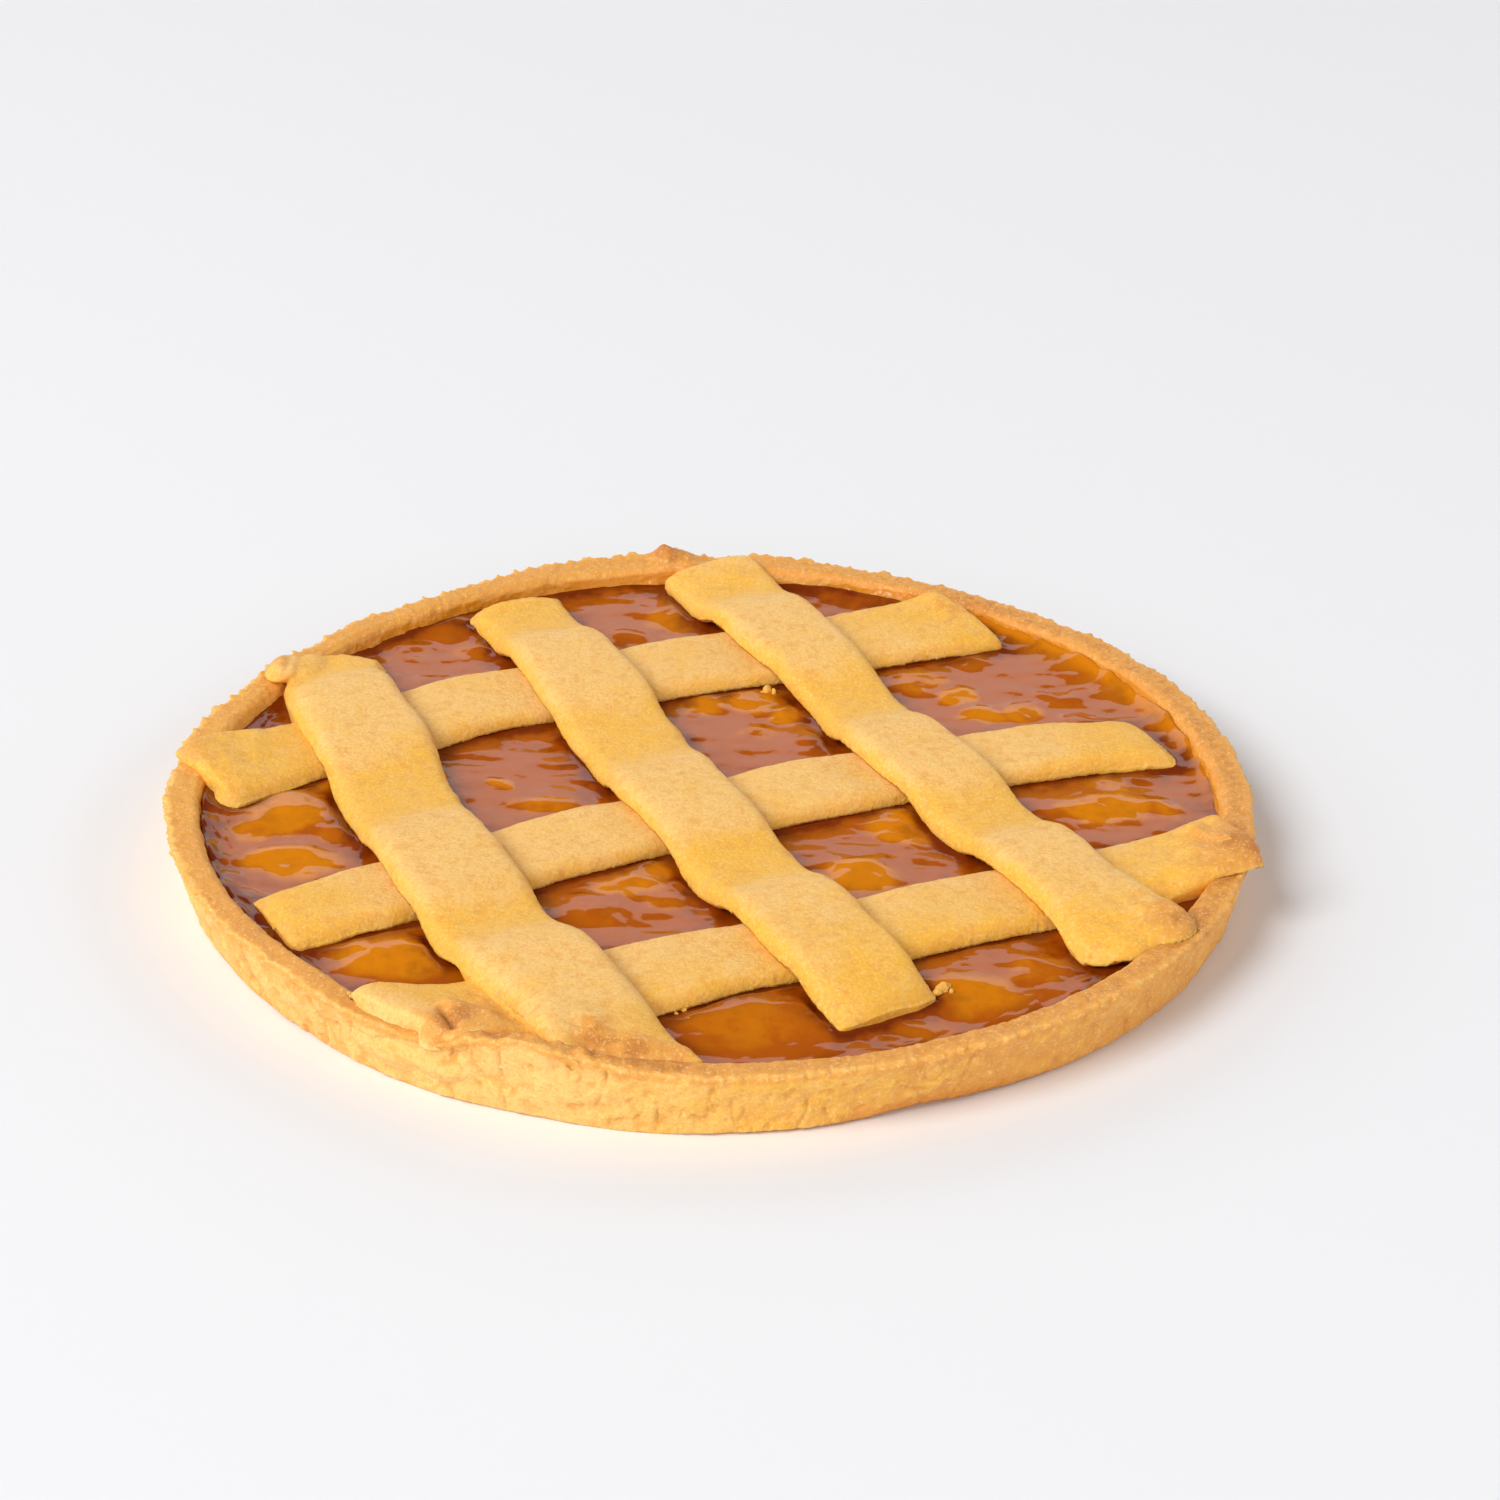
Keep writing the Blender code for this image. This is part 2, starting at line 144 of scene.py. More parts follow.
def new_object(name, mesh, material, slot, *nodes):
    """A piece of the tart: it rides on the body, takes its finish and stands for its nodes. The slot is not
    used.
    """
    mesh.shade_smooth()
    mesh.materials.clear()
    mesh.materials.append(material)
    piece = bpy.data.objects.new(name, mesh)
    bpy.context.scene.collection.objects.link(piece)
    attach(piece, BODY)
    if nodes:
        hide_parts(*nodes)
    return piece


def points_of(mesh):
    values = np.empty(len(mesh.vertices) * 3)
    mesh.vertices.foreach_get("co", values)
    return values.reshape(-1, 3)


def normals_of(mesh):
    values = np.empty(len(mesh.vertices) * 3)
    mesh.vertices.foreach_get("normal", values)
    return values.reshape(-1, 3)


def boxed(points):
    """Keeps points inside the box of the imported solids."""
    return np.clip(points, np.array(cad_box[0]), np.array(cad_box[1]))


def move_points(mesh, points):
    mesh.vertices.foreach_set("co", boxed(points).ravel())
    mesh.update()


def keep_value(mesh, name, values):
    """Keeps one number a point, for the material to read."""
    attribute = mesh.attributes.new(name, "FLOAT", "POINT")
    attribute.data.foreach_set("value", values.astype(np.float32))


def keep_dough_colour(mesh, toast_and_shade, pale, relief, jam):
    """Keeps how each point of dough is coloured, for its material to read: its baking, with painted light
    and shade.
    """
    for name, values in (("toast_and_shade", toast_and_shade), ("pale", pale), ("relief", relief), ("jam", jam)):
        keep_value(mesh, name, np.broadcast_to(values, len(mesh.vertices)))


def smoothstep(share):
    share = np.clip(share, 0.0, 1.0)
    return share * share * (3.0 - 2.0 * share)


def bump(distance, reach):
    return np.exp(-((distance / reach) ** 2))


def waves(points, size, row=0):
    """Smooth noise, about -1 to 1, with blobs of a size in metres. Each row is another pattern."""
    scaled = points / size + np.array((17.3, 5.9, 11.1)) * (row + 1)
    return 1.6 * np.fromiter((noise.noise(point) for point in scaled.tolist()), float, len(scaled))


def flat_distance(points, x, y):
    return np.hypot(points[:, 0] - x, points[:, 1] - y)


def line_distance(points, start, end):
    """Distance in plan from each point to a straight line between two places."""
    start, end = np.array(start), np.array(end)
    way = end - start
    share = np.clip(((points[:, :2] - start) @ way) / (way @ way), 0.0, 1.0)
    return np.linalg.norm(points[:, :2] - start - share[:, None] * way, axis=1)


# ---------------------------------------------------------------- dough

# Where the dough was pinched, torn or pressed: (x, y, reach, rise), in millimetres.
PINCHES = (
    (-25.0, -115.5, 2.6, 0.9),
    (-43.0, -106.5, 5.0, -1.0),
    (127.0, -31.0, 3.0, 0.6),
    (-14.0, 127.0, 2.8, 4.2),
    (-8.5, 127.5, 3.6, 1.8),
)
# Folds and tears: (from x, y, to x, y, half width, rise), in millimetres.
FOLDS = (
    (113.0, -24.0, 121.0, -30.0, 1.3, 0.7),
    (-57.9, -106.0, -55.4, -112.6, 1.1, -2.2),
    (-56.5, -103.0, -48.5, -107.5, 2.2, 0.9),
    (-107.4, 61.0, -107.8, 51.0, 0.9, -0.8),
    (-31.0, -114.5, -5.0, -121.0, 1.0, -0.25),
)
# Ends of strips that slope down on the right of a line: (from x, y, to x, y, fall a millimetre, run).
SLOPES = (
    (-31.0, -114.2, -3.0, -120.8, 0.55, 6.0),
)
# Browned places, and painted shade: the first entry darkens the hollow crease by the front-left knob. (x,
# y, reach, amount), in millimetres.
TOASTED_AND_SHADED = (
    (-57.2, -109.8, 4.5, 0.90),
    (-57.0, -116.0, 4.0, 0.45),
    (-51.0, -106.0, 6.0, 0.70),
    (-46.0, -117.0, 4.0, 0.40),
    (-8.0, -121.5, 4.0, 0.60),
    (-16.0, -120.0, 4.5, 0.85),
    (-25.0, -118.5, 4.5, 0.85),
    (122.0, -29.0, 9.0, 0.65),
    (127.6, -33.0, 6.0, 0.75),
    (106.5, -64.0, 7.0, 0.75),
    (-127.0, 11.0, 7.0, 0.30),
    (-111.0, 58.0, 4.0, 0.30),
    (66.0, 99.0, 8.0, 0.30),
    (-13.0, 127.5, 5.0, 0.70),
    (117.0, -38.0, 5.0, 0.25),
)
# Where strips' ends were pressed into the rim: (angles in degrees), (rises of the rim, in millimetres).
HEAPED_RIM = ((226.0, 231.0, 243.0, 247.0), (0.0, -1.2, -1.2, 0.0))
# Where the rim's outer edge was torn up in front of them: (angles in degrees), (rises in millimetres).
TORN_EDGE = ((243.0, 246.4, 248.0, 252.0, 256.0, 260.0, 265.0), (0.0, 3.0, 2.6, 3.4, 3.2, 1.4, 0.0))
# Dabs of dough on strips: (node, x, y, z, reaches along x, y and z in millimetres, turn in degrees).
DABS = (
    ("lattice_upper_left", -109.3, 57.5, 18.6, 4.3, 6.8, 2.3, -10.0),
    ("lattice_upper_left", -103.6, 60.5, 17.0, 4.6, 7.0, 2.3, -12.0),
    ("lattice_upper_left", -95.0, 65.5, 15.6, 9.0, 4.4, 2.0, 3.0),
    ("lattice_upper_left", -87.4, 64.6, 15.2, 3.6, 3.6, 2.0, 0.0),
    ("lattice_upper_middle", -52.4, 99.0, 16.0, 12.6, 3.2, 2.2, 26.0),
    ("lattice_upper_middle", -61.4, 93.8, 15.6, 2.6, 2.4, 2.0, 0.0),
    ("lattice_upper_middle", -42.2, 103.4, 15.6, 2.4, 2.4, 2.0, 0.0),
    ("lattice_lower_far", -117.3, -3.0, 14.2, 3.4, 4.6, 2.0, 30.0),
    ("lattice_lower_near", -71.5, -98.4, 11.0, 8.0, 7.2, 7.6, -37.0),
    ("lattice_lower_near", -66.0, -102.2, 10.5, 13.0, 7.6, 8.4, -33.0),
    ("lattice_lower_near", -56.0, -107.6, 10.5, 12.0, 7.6, 8.0, -27.0),
    ("lattice_lower_near", -59.6, -111.6, 16.0, 3.6, 3.4, 3.6, 20.0),
    ("lattice_lower_near", -52.0, -109.0, 14.4, 8.0, 4.0, 3.6, -25.0),
    ("lattice_lower_near", -46.8, -116.0, 14.6, 5.6, 2.2, 3.0, -40.0),
    ("lattice_lower_near", -37.5, -112.5, 13.8, 7.0, 3.0, 2.6, -18.0),
    ("lattice_lower_near", 124.6, -31.5, 17.4, 3.0, 4.4, 2.8, 10.0),
    ("lattice_lower_near", 117.0, -24.5, 18.4, 6.6, 2.4, 2.2, -38.0),
    ("lattice_lower_near", 125.2, -27.6, 17.6, 3.4, 4.6, 2.6, 20.0),
    ("lattice_upper_right", 102.4, -64.6, 18.2, 8.0, 7.2, 2.0, 20.0),
    ("lattice_upper_right", 95.0, -70.6, 16.2, 8.0, 5.0, 2.0, 30.0),
    ("lattice_upper_right", 89.0, -72.2, 14.8, 6.4, 3.8, 2.4, 16.0),
)


def pinched(points):
    """How far the dough was pushed up or down at each point."""
    rise = np.zeros(len(points))
    for x, y, reach, height in PINCHES:
        rise += height * MM * bump(flat_distance(points, x * MM, y * MM), reach * MM)
    for from_x, from_y, to_x, to_y, reach, height in FOLDS:
        away = line_distance(points, (from_x * MM, from_y * MM), (to_x * MM, to_y * MM))
        rise += height * MM * bump(away, reach * MM)
    return rise


def sloped(points):
    """How far the sloping ends of strips come down."""
    fall = np.zeros(len(points))
    for from_x, from_y, to_x, to_y, steepness, run in SLOPES:
        start = np.array((from_x, from_y)) * MM
        way = np.array((to_x, to_y)) * MM - start
        length = np.linalg.norm(way)
        way /= length
        along = (points[:, :2] - start) @ way
        beyond = (points[:, :2] - start) @ np.array((way[1], -way[0]))
        beside = smoothstep(along / (7.0 * MM)) * smoothstep((length - along) / (3.0 * MM))
        fall += steepness * np.clip(beyond, 0.0, run * MM) * beside
    return fall


def toasted_and_shaded(points):
    # Browning, and the painted shade of the front-left crease.
    amount = np.zeros(len(points))
    for x, y, reach, share in TOASTED_AND_SHADED:
        amount += share * bump(flat_distance(points, x * MM, y * MM), reach * MM)
    return amount


def knead(points, normals, row):
    """Makes a dough surface uneven. Gives the points, and their fine relief, about -1 to 1."""
    away = 0.28 * MM * waves(points, 24 * MM, row) + 0.12 * MM * waves(points, 8 * MM, row + 1)
    fine = 0.6 * waves(points, 2.6 * MM, row + 2) + 0.5 * waves(points, 1.3 * MM, row + 3)
    away += 0.09 * MM * fine
    return points + normals * away[:, None], fine


# ---------------------------------------------------------------- case

def ring_point(angle, radius, height):
    return Vector((radius * math.cos(angle), radius * math.sin(angle), height))


def measured_case():
    """Distances from the pivot to the case's surface, a row for each look and a column for each angle."""
    tree = tree_of([solid("pastry_case")])

    def reach(angle, look):
        start = ring_point(angle, *PIVOT)
        way = ring_point(angle, math.cos(look), math.sin(look))
        return tree.ray_cast(start, way)[3]

    looks = np.linspace(FIRST_LOOK, LAST_LOOK, FINE_LOOKS)
    section = np.array([reach(SECTION_TURN, look) for look in looks])
    places = np.stack([section * np.cos(looks), section * np.sin(looks)])
    run = np.concatenate([[0.0], np.cumsum(np.linalg.norm(np.diff(places), axis=0))])
    looks = np.interp(np.linspace(0.0, run[-1], CASE_ROWS), run, looks)
    angles = np.linspace(0.0, math.tau, CASE_STEPS, endpoint=False)
    reaches = np.array([[reach(angle, look) for angle in angles] for look in looks])
    return angles, looks, reaches


def soften_round(rows, reach):
    """Smooths closed rows of values over a distance, in steps of the row."""
    steps = np.fft.rfftfreq(rows.shape[1])
    return np.fft.irfft(np.fft.rfft(rows) * np.exp(-2.0 * (math.pi * reach * steps) ** 2), rows.shape[1])


def grid_normals(grid):
    """Outward normals of a closed strip of points, rows x columns x 3."""
    along = np.roll(grid, -1, axis=1) - np.roll(grid, 1, axis=1)
    across = np.gradient(grid, axis=0)
    normals = np.cross(along, across)
    return normals / np.linalg.norm(normals, axis=2, keepdims=True)


def case_faces(rows, steps):
    """Quads between the rows, and a fan to a middle point below the first and the last row."""
    faces = []
    for row in range(rows - 1):
        low, high = row * steps, (row + 1) * steps
        faces.extend(
            (low + step, low + (step + 1) % steps, high + (step + 1) % steps, high + step)
            for step in range(steps)
        )
    underside, floor = rows * steps, rows * steps + 1
    last = (rows - 1) * steps
    faces.extend((underside, (step + 1) % steps, step) for step in range(steps))
    faces.extend((floor, last + step, last + (step + 1) % steps) for step in range(steps))
    return faces


def crumbled(points):
    """Cracked and crumbly relief of a wall of dough: about -1 in a crack or a pit, to 1 on a lump."""
    tall = points * np.array((1.0, 1.0, 0.5))
    patches = smoothstep((waves(points, 18 * MM, 21) + 0.15) / 0.4)
    cracks = bump(waves(tall, 6 * MM, 22), 0.09) * patches
    pits = smoothstep((waves(points, 2.8 * MM, 23) - 0.45) / 0.35)
    lumps = 0.55 * waves(points, 4.5 * MM, 24) + 0.3 * waves(points, 1.8 * MM, 25)
    return lumps - 0.9 * cracks - 0.8 * pits


def edge_teeth(points, turn):
    """Teeth and notches of the crumbly outer edge, about -1 to 1, most at the left and the back."""
    ragged = np.interp(turn, (0, 60, 95, 200, 240, 290, 320, 360), (0.5, 0.7, 1.0, 1.0, 0.8, 0.8, 0.6, 0.5))
    teeth = waves(points, 2.6 * MM, 11) + 0.7 * waves(points, 1.3 * MM, 12)
    return ragged * np.where(teeth > 0.0, teeth, 0.6 * teeth)


def heaped(points, turn):
    """How far the ends of strips pushed the rim up or down."""
    torn = np.interp(turn, *TORN_EDGE) * MM * (1.0 + 0.25 * waves(points, 3 * MM, 28))
    at_edge = smoothstep((np.hypot(points[:, 0], points[:, 1]) - TORN_FROM) / (2.6 * MM))
    return np.interp(turn, *HEAPED_RIM) * MM + torn * at_edge


# How each stretch of the case is coloured: (angles in degrees), then the values there. The rim's toast is
# baking; the wall's toast and paleness are partly baking and partly painted light, paler towards the lit
# front-left and browner towards the shaded right.
WALL_TOAST_AND_SHADE = (
    (0, 40, 120, 200, 225, 250, 275, 299, 330, 360),
    (0.38, 0.32, 0.15, 0.08, 0.12, -0.05, 0.0, 0.28, 0.38, 0.38),
)
WALL_PALE_AND_LIGHT = ((0, 90, 190, 225, 256, 272, 299, 360), (0.30, 0.50, 0.60, 0.90, 1.0, 0.35, 0.20, 0.30))
RIM_TOAST = (
    (0, 60, 90, 180, 210, 235, 270, 300, 360),
    (0.66, 0.64, 0.44, 0.24, 0.52, 0.52, 0.54, 0.62, 0.66),
)


def make_case(material):
    angles, looks, reaches = measured_case()
    spacing = math.tau * PIVOT[0] / CASE_STEPS
    reaches = soften_round(reaches, CASE_SOFTENING / spacing)
    radius = PIVOT[0] + reaches * np.cos(looks)[:, None]
    height = PIVOT[1] + reaches * np.sin(looks)[:, None]
    grid = np.stack([radius * np.cos(angles), radius * np.sin(angles), height], axis=2)
    normals = grid_normals(grid).reshape(-1, 3)
    points = grid.reshape(-1, 3)

    turn = np.degrees(np.broadcast_to(angles, radius.shape)).ravel()
    rim_height = height.max(axis=0)
    depth = (rim_height - height).ravel()
    from_edge = np.hypot(radius - radius.max(axis=0) + EDGE_IN, height - rim_height + EDGE_DOWN).ravel()
    outside = smoothstep((radius - PIVOT[0]).ravel() / (2.0 * MM))
    inside = 1.0 - outside
    wall = outside * smoothstep((depth - 0.5 * MM) / (2.0 * MM))

    relief = crumbled(points) * (0.35 + 0.65 * wall)
    away = CASE_SWELL * waves(points, 16 * MM, 20) + WALL_RELIEF * relief
    away += CASE_GRAIN * waves(points, 1.3 * MM, 27)
    away += inside * 0.2 * MM * waves(points, 7 * MM, 26)
    away *= smoothstep(points[:, 2] / (1.5 * MM))  # the underside stays flat
    teeth = edge_teeth(points, turn) * bump(from_edge, 1.1 * MM)
    points = points + normals * away[:, None]
    outwards = np.stack([np.cos(np.radians(turn)), np.sin(np.radians(turn))], axis=1)
    points[:, :2] += TEETH_OUT * outwards * teeth[:, None]
    points[:, 2] += TEETH_UP * teeth
    rise = pinched(points) + heaped(points, turn)
    points[:, 2] += rise * smoothstep((points[:, 2] - 9 * MM) / (7 * MM))
    points = boxed(points)

    top = outside * (1.0 - wall) + inside * smoothstep(1.0 - depth / (2.5 * MM))
    ridge = bump(from_edge, 0.9 * MM)
    # Browning, with painted light and shade: the wall is paler towards the lit front-left and browner
    # towards the shaded right.
    browned_and_shaded = toasted_and_shaded(points) * smoothstep((points[:, 2] - 12.0 * MM) / (5.0 * MM))
    browned_and_shaded += top * np.interp(turn, *RIM_TOAST) + (1.0 - top) * np.interp(turn, *WALL_TOAST_AND_SHADE)
    pale = (1.0 - top) * np.interp(turn, *WALL_PALE_AND_LIGHT) + ridge
    coat = inside * jam_coat(points, turn, depth)
    middle = [[0.0, 0.0, 0.0], [0.0, 0.0, points[-1, 2]]]
    mesh = bpy.data.meshes.new("crust_case")
    mesh.from_pydata(np.vstack([points, middle]), [], case_faces(CASE_ROWS, CASE_STEPS))
    dough_colour = (browned_and_shaded * (1.0 - 0.8 * ridge), pale, relief, coat)
    keep_dough_colour(mesh, *(np.append(values, np.zeros(len(middle))) for values in dough_colour))
    return new_object("crust_case", mesh, material, "case_pastry", "pastry_case")


def jam_coat(points, turn, depth):
    """Where jam has run up the inner wall: all of it low down, and higher along some stretches."""
    reach = np.interp(
        turn,
        (0, 18, 26, 50, 66, 76, 84, 92, 140, 150, 172, 180, 206, 214, 340, 360),
        (2.6, 3.2, 3.8, 3.6, 4.2, 2.8, 1.4, 3.2, 3.4, 1.2, 1.2, 4.4, 4.2, 0.8, 0.6, 2.6),
    )
    level = 5.0 * MM - reach * MM - 0.5 * MM * waves(points, 5 * MM, 31)
    return smoothstep((depth - level) / (0.5 * MM))


# ---------------------------------------------------------------- strips

def ground_height(case_tree, x, y):
    """Height of what lies below a strip: the case, or the jam inside it. None outside the case."""
    hit = case_tree.ray_cast(Vector((x, y, OVERHEAD)), BELOW)[0]
    return None if hit is None else max(hit.z, JAM_LEVEL)


def draped_copy(node, case_tree):
    """A node's solid, with the underside of its ends let down on what lies below, and its dabs of dough."""
    work = bmesh.new()
    work.from_mesh(solid(node))
    bmesh.ops.remove_doubles(work, verts=work.verts, dist=0.001 * MM)
    work.normal_update()
    for vertex in work.verts:
        x, y, z = vertex.co
        if vertex.normal.z < -0.5 and math.hypot(x, y) > DRAPED_FROM and z > JAM_LEVEL:
            ground = ground_height(case_tree, x, y)
            if ground is not None:
                vertex.co.z = min(z, ground - SUNK)
    for owner, x, y, z, along, across, high, turn in DABS:
        if owner == node:
            place = Matrix.Translation((x * MM, y * MM, z * MM))
            turned = Matrix.Rotation(math.radians(turn), 4, "Z")
            size = Matrix.Diagonal((along * MM, across * MM, high * MM, 1.0))
            bmesh.ops.create_icosphere(work, subdivisions=3, radius=1.0, matrix=place @ turned @ size)
    mesh = bpy.data.meshes.new("rough")
    work.to_mesh(mesh)
    work.free()
    return mesh


def fine_copy(mesh):
    """A fine even mesh over a coarse one, with its facets smoothed out."""
    rough = bpy.data.objects.new("rough", mesh)
    bpy.context.scene.collection.objects.link(rough)
    remesh = rough.modifiers.new("fine", "REMESH")
    remesh.mode = "VOXEL"
    remesh.voxel_size = VOXEL
    soften = rough.modifiers.new("soften", "SMOOTH")
    soften.factor = 0.5
    soften.iterations = STRIP_SOFTENING
    graph = bpy.context.evaluated_depsgraph_get()
    mesh = bpy.data.meshes.new_from_object(rough.evaluated_get(graph))
    bpy.data.objects.remove(rough)
    return mesh


def blurred(field, reach):
    """A grid of values, smoothed over a distance in grid steps."""
    span = np.arange(-math.ceil(3 * reach), math.ceil(3 * reach) + 1)
    weights = np.exp(-0.5 * (span / reach) ** 2)
    weights /= weights.sum()
    for axis in (0, 1):
        field = np.apply_along_axis(np.convolve, axis, field, weights, mode="same")
    return field


def blurred_inside(field, cover, reach):
    """The same, from the values inside a strip's outline alone."""
    return blurred(field * cover, reach) / np.maximum(blurred(cover, reach), 0.001)


def read_grid(grid, corner, points):
    """Values of a grid at points, in plan."""
    place = (points[:, :2] - corner) / GRID_STEP
    low = np.clip(np.floor(place).astype(int), 0, np.array(grid.shape) - 2)
    x_share, y_share = np.clip(place - low, 0.0, 1.0).T
    x, y = low.T
    return (
        (1.0 - x_share) * ((1.0 - y_share) * grid[x, y] + y_share * grid[x, y + 1])
        + x_share * ((1.0 - y_share) * grid[x + 1, y] + y_share * grid[x + 1, y + 1])
    )


def lie_of(node, full):
    """Grids over a strip: the rise that eases its kinks, and, twice, 0 at its outline to 1 well inside."""
    tree = tree_of([solid(node)])
    full_tree = tree_of([full])
    places = points_of(full)[:, :2]
    margin = 8 * GRID_STEP
    corner = places.min(axis=0) - margin
    counts = np.ceil((places.max(axis=0) + margin - corner) / GRID_STEP).astype(int)
    middle = np.zeros(counts)
    cover = np.zeros(counts)
    outline = np.zeros(counts)
    for row in range(counts[0]):
        for column in range(counts[1]):
            x, y = corner + np.array((row, column)) * GRID_STEP
            outline[row, column] = full_tree.ray_cast(Vector((x, y, OVERHEAD)), BELOW)[0] is not None
            top = tree.ray_cast(Vector((x, y, OVERHEAD)), BELOW)[0]
            if top is not None:
                bottom = tree.ray_cast(Vector((x, y, 0.0)), ABOVE)[0]
                middle[row, column] = (top.z + bottom.z) / 2
                cover[row, column] = 1.0
    easing = blurred_inside(middle, cover, EASING) - middle
    easing = np.where(cover > 0.0, easing, blurred_inside(easing, cover, 1.5))
    near, wide = (np.clip(2.0 * blurred(outline, reach) - 1.0, 0.0, 1.0) for reach in (SHOULDER, PRESSED))
    return corner, easing, near, wide


def strip_pale_and_sheen(node, points, height, well_in):
    """How pale a strip is coloured, 0 to 1: palest on top of the crossings or far in, and golden at its
    edges. The pale tops are partly painted sheen, and the near strip is paler where it hangs over the lit
    front-left of the wall, as painted light.
    """
    out = np.hypot(points[:, 0], points[:, 1])
    if node.startswith("lattice_upper"):
        # Painted sheen: the high tops of the crossings are paler.
        pale = smoothstep((height - 17.0 * MM) / (4.5 * MM))
    else:
        pale = smoothstep((118.0 * MM - out) / (45.0 * MM))
    pale = pale * (0.25 + 0.75 * smoothstep(well_in / 0.7)) + 0.25 * waves(points, 14 * MM, 51)
    right, front = points[:, 0] / (40.0 * MM), (-40.0 * MM - points[:, 1]) / (30.0 * MM)
    pale -= 0.6 * smoothstep(right) * smoothstep(front)
    if node == "lattice_lower_near":
        # Painted light: paler where it hangs over the lit front-left of the wall.
        on_wall = smoothstep((out - 119.0 * MM + 0.5 * (19.0 * MM - height)) / (5.0 * MM))
        pale += on_wall * (points[:, 0] < 0.0)
    return np.clip(pale, 0.0, 1.0)


def pressed_ends(points):
    """1 where a strip's end lies on the jam, and was pressed thin. Less at the back."""
    out = np.hypot(points[:, 0], points[:, 1])
    at_end = smoothstep((out - 92.0 * MM) / (10.0 * MM)) * smoothstep((CASE_TOP - out) / (6.0 * MM))
    return at_end * (1.0 - 0.8 * smoothstep((points[:, 1] - 45.0 * MM) / (20.0 * MM)))


def make_strip(node, row, case_tree, material):
    full = draped_copy(node, case_tree)
    mesh = fine_copy(full)
    points = points_of(mesh)
    normals = normals_of(mesh)
    points += PUFF * normals
    upward = smoothstep(normals[:, 2] / 0.6)
    not_under = smoothstep((normals[:, 2] + 0.5) / 0.5)
    corner, *grids = lie_of(node, full)
    ease, well_in, far_in = (read_grid(grid, corner, points) for grid in grids)
    pressed = pressed_ends(points) * upward
    points[:, 2] += np.where(ease > 0.0, ease * not_under, ease)
    points[:, 2] -= SHOULDER_DROP * (1.0 - well_in) ** 2 * not_under
    points[:, 2] -= PRESSED_DROP * (1.0 - far_in) ** 2 * pressed
    height = points[:, 2].copy()
    points, fine = knead(points, normals, 10 * row)
    points[:, 2] += (pinched(points) - sloped(points)) * upward
    keep_dough_colour(mesh, toasted_and_shaded(points) * upward, strip_pale_and_sheen(node, points, height, well_in), fine, 0.0)
    move_points(mesh, points)
    mesh.name = node.replace("lattice_", "strip_")
    return new_object(mesh.name, mesh, material, "strip_pastry", node)


# ---------------------------------------------------------------- jam

